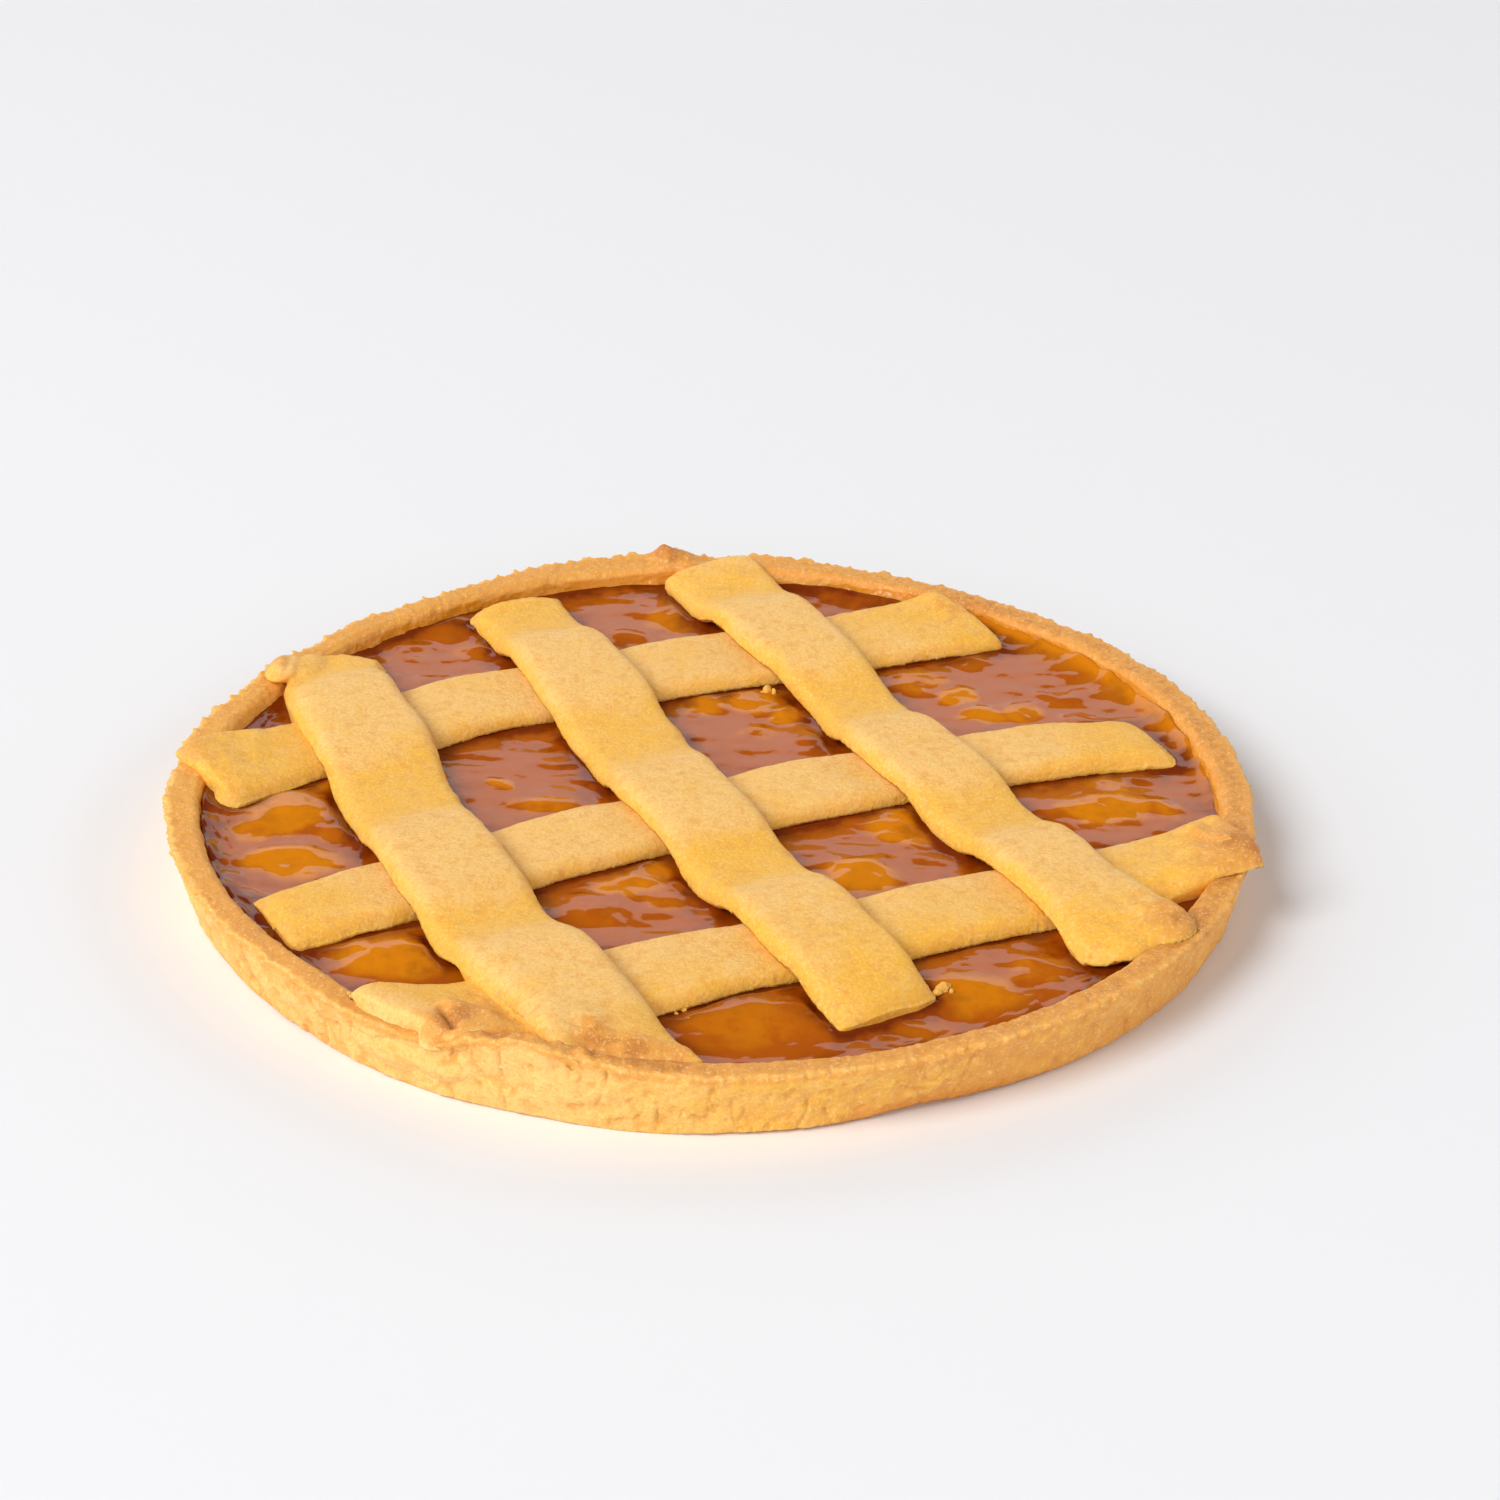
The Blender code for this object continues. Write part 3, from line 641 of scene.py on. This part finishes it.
# Fruit under the skin: (x, y, reaches along x and y, rise, in millimetres, and how amber it is, 0 to 1).
FRUIT = (
    (-102.0, -3.5, 10.0, 8.0, 1.9, 1.0),
    (-92.0, 10.0, 6.0, 5.0, 1.0, 0.8),
    (-98.0, -27.0, 10.0, 6.5, 1.6, 1.0),
    (-109.0, -14.0, 5.0, 5.0, 1.0, 0.7),
    (-88.0, -15.0, 6.0, 3.5, 0.7, 0.4),
    (-70.0, -71.0, 14.0, 7.5, 1.9, 0.9),
    (-54.0, -76.0, 6.0, 5.0, 0.9, 0.6),
    (-71.0, 97.0, 8.0, 6.0, 1.2, 0.3),
    (-60.0, 84.0, 7.0, 5.0, 1.0, 0.4),
    (-80.0, 84.0, 6.0, 5.0, 0.9, 0.2),
    (-10.0, 103.0, 8.0, 7.0, 1.3, 0.6),
    (-22.0, 92.0, 6.0, 5.0, 0.9, 0.2),
    (-3.0, 55.0, 5.5, 5.5, 1.2, 0.9),
    (9.0, 57.0, 7.0, 6.0, 1.2, 0.8),
    (18.5, 49.0, 4.0, 5.5, 1.0, 0.9),
    (24.0, 33.0, 4.0, 5.0, 0.9, 0.0),
    (10.5, 37.0, 6.0, 3.0, 0.45, 0.4),
    (45.0, -8.0, 8.5, 6.5, 1.5, 0.9),
    (34.0, -31.0, 8.5, 7.0, 1.5, 1.0),
    (21.0, -6.0, 5.0, 3.0, 0.5, 0.2),
    (-13.6, -31.0, 5.5, 4.0, 0.9, 0.8),
    (-19.0, -38.0, 7.5, 5.0, 1.2, 0.8),
    (-4.0, -38.5, 4.5, 4.0, 0.9, 0.5),
    (4.0, -34.0, 4.0, 5.0, 0.9, 0.0),
    (-27.0, -51.0, 9.0, 6.0, 1.5, 0.2),
    (-10.0, -45.0, 4.0, 3.5, 0.7, 0.4),
    (-51.5, 10.5, 3.2, 2.6, 0.45, 0.7),
    (-26.0, 14.0, 5.0, 4.0, 0.9, 0.0),
    (-40.0, 0.0, 8.0, 4.0, 0.9, 0.6),
    (-82.0, -18.0, 4.0, 4.0, 0.8, 0.0),
    (63.0, 60.0, 5.0, 4.0, 0.9, 0.9),
    (78.0, 51.0, 5.0, 4.0, 0.8, 0.7),
    (68.0, 49.0, 6.0, 4.0, 0.9, 0.8),
    (88.0, 58.0, 6.0, 4.0, 0.9, 0.2),
    (92.0, 44.0, 6.0, 4.0, 0.8, 0.2),
    (95.5, 1.5, 12.0, 6.5, 1.7, 0.9),
    (96.6, 13.0, 5.0, 4.0, 0.8, 0.6),
    (109.0, 1.0, 5.0, 4.5, 0.9, 0.6),
    (83.0, -3.0, 5.0, 5.0, 0.9, 0.2),
    (52.0, 69.0, 7.0, 5.0, 1.0, 0.6),
    (64.0, 81.0, 7.0, 5.0, 1.0, 0.3),
    (6.0, -97.0, 13.0, 8.0, 1.7, 0.45),
    (24.0, -96.0, 10.0, 6.0, 1.1, 0.3),
    (58.0, -83.0, 12.0, 7.0, 1.5, 0.7),
    (73.0, -75.0, 7.0, 5.0, 0.9, 0.5),
    (44.0, -99.0, 9.0, 4.0, 0.7, 0.4),
)
# How high the jam has run up the wall: (angles in degrees), (heights), (reaches inwards), in millimetres.
RUN_UP = (
    (0, 8, 16, 46, 58, 82, 90, 140, 160, 176, 184, 206, 216, 262, 275, 330, 345, 360),
    (0.8, 1.6, 2.8, 2.8, 2.0, 1.6, 0.9, 1.0, 1.4, 2.4, 3.0, 2.8, 1.3, 0.9, 1.2, 1.1, 0.8, 0.8),
    (1.2, 2.2, 3.8, 3.8, 2.8, 2.0, 1.3, 1.5, 2.2, 4.2, 5.2, 4.8, 2.2, 1.5, 2.2, 1.8, 1.2, 1.2),
)
# Where its skin is wrinkled beside the wall, and where it is thin there, so that the dough shines through:
# (angles in degrees), (shares).
WRINKLED = ((140, 152, 212, 226, 262, 268, 330, 345), (0, 1, 1, 0.5, 0.5, 1, 1, 0))
THIN = ((0, 8, 20, 62, 74, 360), (0.4, 0.8, 1, 1, 0, 0))
# Where the skin slopes down towards the front: (x, y, reach in millimetres, slope).
FALLS = (
    (8.0, -98.0, 24.0, 0.13),
    (62.0, -84.0, 22.0, 0.12),
    (-72.0, -82.0, 14.0, 0.08),
    (-100.0, -18.0, 18.0, 0.07),
    (-68.0, 90.0, 18.0, 0.12),
    (-12.0, 108.0, 16.0, 0.12),
    (40.0, 112.0, 16.0, 0.10),
    (-108.0, 30.0, 10.0, 0.08),
)


def jam_disc(rings):
    """Flat disc of triangles, as (ring share, turn) for each point, and its faces. Ring k has 6k points."""
    places = [(0.0, 0.0)]
    faces = []
    start = 0
    for ring in range(1, rings + 1):
        count, before = 6 * ring, max(6 * (ring - 1), 1)
        first = len(places)
        places.extend((ring / rings, math.tau * step / count) for step in range(count))
        for step in range(count):
            side, place = divmod(step, ring)
            near = start + (side * (ring - 1) + place) % before
            after = first + (step + 1) % count
            faces.append((first + step, after, near))
            if place < ring - 1:
                following = start + (side * (ring - 1) + place + 1) % before
                faces.append((after, following, near))
        start = first
    return np.array(places), faces


def wall_radius(tree):
    """The inner wall's radius at the jam's level, for each degree."""
    start = Vector((0.0, 0.0, JAM_LEVEL + 0.6 * MM))
    ways = [ring_point(math.radians(turn), 1.0, 0.0) for turn in range(360)]
    return np.array([tree.ray_cast(start, way)[3] for way in ways])


def beside_strips(points):
    """Distance from each place on the jam to the nearest strip. Below 0 inside a strip."""
    tree = tree_of([solid(node) for node in STRIPS])
    beside = np.empty(len(points))
    for index, (x, y, _) in enumerate(points.tolist()):
        place = Vector((x, y, JAM_LEVEL + 1.0 * MM))
        way_out = tree.ray_cast(place, ABOVE)[1]
        away = tree.find_nearest(place)[3]
        beside[index] = -away if way_out is not None and way_out.z > 0.0 else away
    return beside


def fruit_under(points):
    """How far the fruit lifts the skin, and how amber it makes the jam, 0 to 1."""
    bent = points.copy()
    bent[:, 0] += 1.8 * MM * waves(points, 9 * MM, 41) + 0.7 * MM * waves(points, 3 * MM, 42)
    bent[:, 1] += 1.8 * MM * waves(points, 9 * MM, 43) + 0.7 * MM * waves(points, 3 * MM, 44)
    lift = np.zeros(len(points))
    amber = np.zeros(len(points))
    for x, y, wide, deep, rise, share in FRUIT:
        across, along = (bent[:, 0] - x * MM) / (wide * MM), (bent[:, 1] - y * MM) / (deep * MM)
        lift += FRUIT_LIFT * rise * MM * np.exp(-across ** 2 - along ** 2)
        amber = np.maximum(amber, share * smoothstep(1.6 * np.exp(-across ** 2 - (along + 0.5) ** 2)))
    return lift, amber


def skin_lift(points):
    """The skin's streaks, its fine grain, and its slopes towards the front."""
    streaks = points * np.array((0.6, 1.2, 1.0))
    lift = 0.36 * MM * waves(streaks, 13 * MM, 45) + 0.19 * MM * waves(streaks, 5 * MM, 46)
    lift += 0.026 * MM * waves(points, 1.9 * MM, 47)
    for x, y, spread, fall in FALLS:
        lift += fall * (points[:, 1] - y * MM) * bump(flat_distance(points, x * MM, y * MM), spread * MM)
    return lift


def climb(points, turn, beside, from_wall):
    """How far the jam climbs up the strips and the wall, and its wrinkles beside the wall."""
    uneven = 1.0 + 0.3 * waves(points, 6 * MM, 48)
    under = smoothstep((beside + 2.5 * MM) / (1.0 * MM))
    lift = MENISCUS * uneven * np.exp(-np.maximum(beside, 0.0) / MENISCUS_REACH) * under
    run_up, run_in = (np.interp(turn, RUN_UP[0], row) * MM for row in RUN_UP[1:])
    lift += run_up * uneven * np.exp(-np.maximum(from_wall, 0.0) / run_in)
    out = np.hypot(points[:, 0], points[:, 1])
    sheet = np.stack([4.0 * out, 0.12 * np.radians(turn), np.zeros(len(points))], axis=1)
    wrinkles = WRINKLE * waves(sheet, 6 * MM, 49) * np.interp(turn, *WRINKLED)
    return lift + wrinkles * bump(from_wall - 3.0 * MM, 4.5 * MM)


def make_jam(material, case_tree):
    places, faces = jam_disc(JAM_RINGS)
    share, angle = places.T
    turn = np.degrees(angle)
    reach = np.interp(turn, np.arange(360), wall_radius(case_tree), period=360)
    radius = share * (reach + JAM_TUCK)
    points = np.stack([radius * np.cos(angle), radius * np.sin(angle), np.zeros(len(radius))], axis=1)
    beside = beside_strips(points)
    from_wall = reach - radius
    free = smoothstep(np.minimum(beside, from_wall) / (2.5 * MM))

    fruit, amber = fruit_under(points)
    height = JAM_LEVEL + (fruit + skin_lift(points)) * free + climb(points, turn, beside, from_wall)
    points[:, 2] = np.where(beside < -2.0 * MM, np.minimum(height, JAM_LEVEL + 0.2 * MM), height)

    rim_count = 6 * JAM_RINGS
    first = len(points) - rim_count
    lower = points[first:].copy()
    lower[:, 2] = JAM_FLOOR
    bottom = len(points) + rim_count
    for step in range(rim_count):
        after = (step + 1) % rim_count
        faces.append((first + step, len(points) + step, len(points) + after, first + after))
        faces.append((bottom, len(points) + after, len(points) + step))

    near_wall = np.maximum(from_wall, 0.0)
    thin = np.interp(turn, *THIN) * np.exp(-near_wall / (5.0 * MM))
    amber = np.maximum(amber * free, thin)
    # Painted shade: the jam is darkened beside the strips and along the wall, less where it is thin there.
    at_wall = 0.8 * np.exp(-near_wall / (4.0 * MM)) * (1.0 - thin)
    shade = np.exp(-np.maximum(beside, 0.0) / (3.0 * MM)) + at_wall
    mesh = bpy.data.meshes.new("jam")
    mesh.from_pydata(np.vstack([points, lower, [[0.0, 0.0, JAM_FLOOR]]]), [], faces)
    keep_value(mesh, "amber", np.append(amber, np.zeros(rim_count + 1)))
    keep_value(mesh, "shade", np.append(np.clip(shade, 0.0, 1.0), np.ones(rim_count + 1)))
    return new_object("jam", mesh, material, "jam", "apricot_filling")


# ---------------------------------------------------------------- crumbs

# Crumbs of dough: (x, y, height, size), in millimetres.
CRUMBS = (
    (13.6, 58.4, 13.4, 1.2), (15.2, 57.8, 13.1, 0.8), (12.2, 57.8, 13.0, 0.6),
    (51.4, -86.4, 13.4, 1.5), (50.2, -87.8, 13.3, 1.0), (52.8, -85.4, 13.2, 0.9), (53.4, -87.0, 13.0, 0.6),
    (-7.4, -96.7, 12.7, 0.45), (-4.6, -98.8, 12.7, 0.5), (-5.9, -95.2, 12.7, 0.4), (-8.6, -95.2, 12.7, 0.3),
)


def make_crumbs(material):
    work = bmesh.new()
    for x, y, z, size in CRUMBS:
        place = Matrix.Translation((x * MM, y * MM, z * MM)) @ Matrix.Rotation(x, 4, (0.6, 0.0, 0.8))
        shape = Matrix.Diagonal((1.2 * size * MM, 0.9 * size * MM, 0.8 * size * MM, 1.0))
        bmesh.ops.create_icosphere(work, subdivisions=4, radius=1.0, matrix=place @ shape)
    mesh = bpy.data.meshes.new("crumbs")
    work.to_mesh(mesh)
    work.free()
    points = points_of(mesh)
    uneven = 0.22 * waves(points, 1.6 * MM, 61) + 0.10 * waves(points, 0.6 * MM, 62)
    move_points(mesh, points + normals_of(mesh) * uneven[:, None] * MM)
    keep_dough_colour(mesh, 0.15 + 0.2 * uneven, 0.0, 0.0, 0.0)
    new_object("crumbs", mesh, material, "strip_pastry")


# ---------------------------------------------------------------- materials

class Painter:
    """Adds shader nodes to a material and links them."""

    def __init__(self, name):
        self.material = bpy.data.materials.new(name)
        self.material.use_nodes = True
        self.nodes = self.material.node_tree.nodes
        self.links = self.material.node_tree.links
        self.shader = self.nodes["Principled BSDF"]
        self.place = self.nodes.new("ShaderNodeTexCoord").outputs["Object"]

    def link(self, value, socket):
        if isinstance(value, bpy.types.NodeSocket):
            self.links.new(value, socket)
        else:
            socket.default_value = value

    def noise(self, size, detail=3.0):
        """Noise from 0 to 1, with blobs of a size in metres."""
        node = self.nodes.new("ShaderNodeTexNoise")
        node.inputs["Scale"].default_value = 1.0 / size
        node.inputs["Detail"].default_value = detail
        node.inputs["Roughness"].default_value = 0.55
        self.links.new(self.place, node.inputs["Vector"])
        return node.outputs["Fac"]

    def value(self, name):
        node = self.nodes.new("ShaderNodeAttribute")
        node.attribute_name = name
        return node.outputs["Fac"]

    def spread(self, value, low, high, bottom=0.0, top=1.0):
        node = self.nodes.new("ShaderNodeMapRange")
        node.interpolation_type = "SMOOTHSTEP"
        for name, number in (("From Min", low), ("From Max", high), ("To Min", bottom), ("To Max", top)):
            node.inputs[name].default_value = number
        self.links.new(value, node.inputs["Value"])
        return node.outputs["Result"]

    def math(self, operation, first, second):
        node = self.nodes.new("ShaderNodeMath")
        node.operation = operation
        self.link(first, node.inputs[0])
        self.link(second, node.inputs[1])
        return node.outputs["Value"]

    def mix(self, share, first, second):
        node = self.nodes.new("ShaderNodeMix")
        node.data_type = "RGBA"
        self.link(share, node.inputs["Factor"])
        self.link(first, node.inputs["A"])
        self.link(second, node.inputs["B"])
        return node.outputs["Result"]

    def bump(self, height, distance, normal=None):
        node = self.nodes.new("ShaderNodeBump")
        node.inputs["Distance"].default_value = distance
        node.inputs["Strength"].default_value = 1.0
        self.links.new(height, node.inputs["Height"])
        if normal is not None:
            self.links.new(normal, node.inputs["Normal"])
        return node.outputs["Normal"]


# PALE_DOUGH also serves as painted light and sheen on the lit wall and the high tops.
PALE_DOUGH = (0.92, 0.555, 0.170, 1.0)
GOLDEN_DOUGH = (0.92, 0.490, 0.054, 1.0)
TAN_DOUGH = (0.80, 0.355, 0.062, 1.0)
BROWN_DOUGH = (0.58, 0.21, 0.032, 1.0)
SAND_PIT = (0.84, 0.37, 0.045, 1.0)
SAND_GRAIN = (0.97, 0.66, 0.27, 1.0)
WET_DOUGH = (0.72, 0.27, 0.014, 1.0)


def pastry(name):
    """Baked shortcrust: pale to golden, browner where it stands up, sandy, and glossy where jam wets it;
    its colour also holds painted light and shade, paler where light falls and browner in shade and in the
    pits and cracks.
    """
    paint = Painter(name)
    mottle = paint.spread(paint.noise(7 * MM), 0.3, 0.7, -0.25, 0.25)
    colour = paint.mix(paint.math("ADD", paint.value("pale"), mottle), GOLDEN_DOUGH, PALE_DOUGH)
    uneven = paint.spread(paint.noise(2.4 * MM), 0.3, 0.7, 0.75, 1.25)
    toast_and_shade = paint.math("MULTIPLY", paint.value("toast_and_shade"), uneven)
    # Painted shade: the pits and cracks of the relief are browner, its lumps paler.
    relief = paint.spread(paint.value("relief"), -1.2, 1.0, 0.30, -0.10)
    toast_and_shade = paint.math("ADD", toast_and_shade, relief)
    colour = paint.mix(paint.spread(toast_and_shade, 0.0, 0.5), colour, TAN_DOUGH)
    colour = paint.mix(paint.spread(toast_and_shade, 0.5, 1.1), colour, BROWN_DOUGH)
    sand = paint.noise(0.75 * MM)
    colour = paint.mix(paint.spread(sand, 0.48, 0.32, 0.0, 0.50), colour, SAND_PIT)
    colour = paint.mix(paint.spread(sand, 0.52, 0.68, 0.0, 0.50), colour, SAND_GRAIN)
    jam = paint.value("jam")
    colour = paint.mix(jam, colour, WET_DOUGH)
    paint.link(colour, paint.shader.inputs["Base Color"])
    paint.link(paint.spread(jam, 0.2, 0.9, 0.60, 0.12), paint.shader.inputs["Roughness"])
    paint.shader.inputs["IOR"].default_value = 1.45
    paint.shader.inputs["Subsurface Weight"].default_value = 0.30
    paint.shader.inputs["Subsurface Radius"].default_value = (1.0, 0.55, 0.15)
    paint.shader.inputs["Subsurface Scale"].default_value = 2.5 * MM
    fine = paint.bump(sand, 0.22 * MM)
    rough = paint.bump(paint.noise(1.6 * MM, 2.0), 0.24 * MM, fine)
    paint.link(rough, paint.shader.inputs["Normal"])
    return paint.material


DEEP_JAM = (0.445, 0.093, 0.002, 1.0)
AMBER_JAM = (0.68, 0.215, 0.003, 1.0)
# Colour of the painted shade on the jam.
SHADED_JAM = (0.18, 0.024, 0.001, 1.0)


def jam_material():
    paint = Painter("apricot_jam")
    cloud = paint.spread(paint.noise(6 * MM), 0.3, 0.7, -0.22, 0.22)
    amber = paint.spread(paint.math("ADD", paint.value("amber"), cloud), 0.05, 0.95)
    colour = paint.mix(amber, DEEP_JAM, AMBER_JAM)
    # Painted shade: darker beside the strips and along the wall.
    shade = paint.math("ADD", paint.math("MULTIPLY", paint.value("shade"), 1.1), cloud)
    colour = paint.mix(paint.spread(shade, 0.0, 0.9), colour, SHADED_JAM)
    paint.link(colour, paint.shader.inputs["Base Color"])
    paint.shader.inputs["Roughness"].default_value = 0.05
    paint.shader.inputs["IOR"].default_value = 1.40
    paint.link(paint.bump(paint.noise(2.2 * MM, 2.0), 0.035 * MM), paint.shader.inputs["Normal"])
    return paint.material


def floor_material():
    paint = Painter("floor")
    paint.shader.inputs["Base Color"].default_value = FLOOR_WHITE
    paint.shader.inputs["Roughness"].default_value = 0.9
    paint.shader.inputs["Specular IOR Level"].default_value = 0.1
    return paint.material


# ---------------------------------------------------------------- studio

def make_floor():
    mesh = bpy.data.meshes.new("floor")
    corners = ((-1, -1), (1, -1), (1, 1), (-1, 1))
    mesh.from_pydata([(x * FLOOR_HALF, y * FLOOR_HALF, 0.0) for x, y in corners], [], [(0, 1, 2, 3)])
    mesh.materials.append(floor_material())
    floor = bpy.data.objects.new("floor", mesh)
    bpy.context.scene.collection.objects.link(floor)


# What the white surroundings send: (sine of the height above the horizon, brightness). The ceiling is dark.
BACKDROP = ((0.0, 1.03), (0.30, 1.03), (0.450, 1.36), (0.602, 1.54), (0.622, 0.09))
BACKDROP_TINT = (1.0, 0.985, 0.985)


def make_world():
    world = bpy.data.worlds.new("studio")
    bpy.context.scene.world = world
    world.use_nodes = True
    nodes, links = world.node_tree.nodes, world.node_tree.links
    place = nodes.new("ShaderNodeTexCoord")
    split = nodes.new("ShaderNodeSeparateXYZ")
    links.new(place.outputs["Generated"], split.inputs["Vector"])
    ramp = nodes.new("ShaderNodeValToRGB")
    brightest = max(light for _, light in BACKDROP)
    stops = ramp.color_ramp.elements
    while len(stops) < len(BACKDROP):
        stops.new(1.0)
    for stop, (height, light) in zip(stops, BACKDROP):
        share = light / brightest
        stop.position = height
        stop.color = (*(share * part for part in BACKDROP_TINT), 1.0)
    links.new(split.outputs["Z"], ramp.inputs["Fac"])
    links.new(ramp.outputs["Color"], nodes["Background"].inputs["Color"])
    nodes["Background"].inputs["Strength"].default_value = brightest


def make_light(name, place, size, power):
    """A soft round lamp that faces the tart."""
    light = bpy.data.lights.new(name, "AREA")
    light.shape = "DISK"
    light.size = size
    light.energy = power
    lamp = bpy.data.objects.new(name, light)
    lamp.location = place
    lamp.rotation_euler = (-Vector(place)).to_track_quat("-Z", "Y").to_euler()
    bpy.context.scene.collection.objects.link(lamp)


def make_camera():
    lens = bpy.data.cameras.new("camera")
    lens.lens = CAMERA_LENS
    lens.sensor_width = SENSOR
    lens.clip_end = 20.0
    camera = bpy.data.objects.new("camera", lens)
    right, up = Vector(CAMERA_RIGHT), Vector(CAMERA_UP)
    turn = Matrix((right, up, right.cross(up))).transposed()
    camera.matrix_world = Matrix.Translation(CAMERA_PLACE) @ turn.to_4x4()
    bpy.context.scene.collection.objects.link(camera)
    bpy.context.scene.camera = camera


def main():
    make_camera()
    make_world()
    make_light("key", KEY_PLACE, KEY_SIZE, KEY_POWER)
    make_floor()
    case_tree = tree_of([solid("pastry_case")])
    make_case(pastry("case_pastry"))
    dough = pastry("strip_pastry")
    for row, node in enumerate(STRIPS):
        make_strip(node, row, case_tree, dough)
    make_crumbs(dough)
    make_jam(jam_material(), case_tree)
    bpy.context.scene.view_settings.view_transform = "Standard"


main()
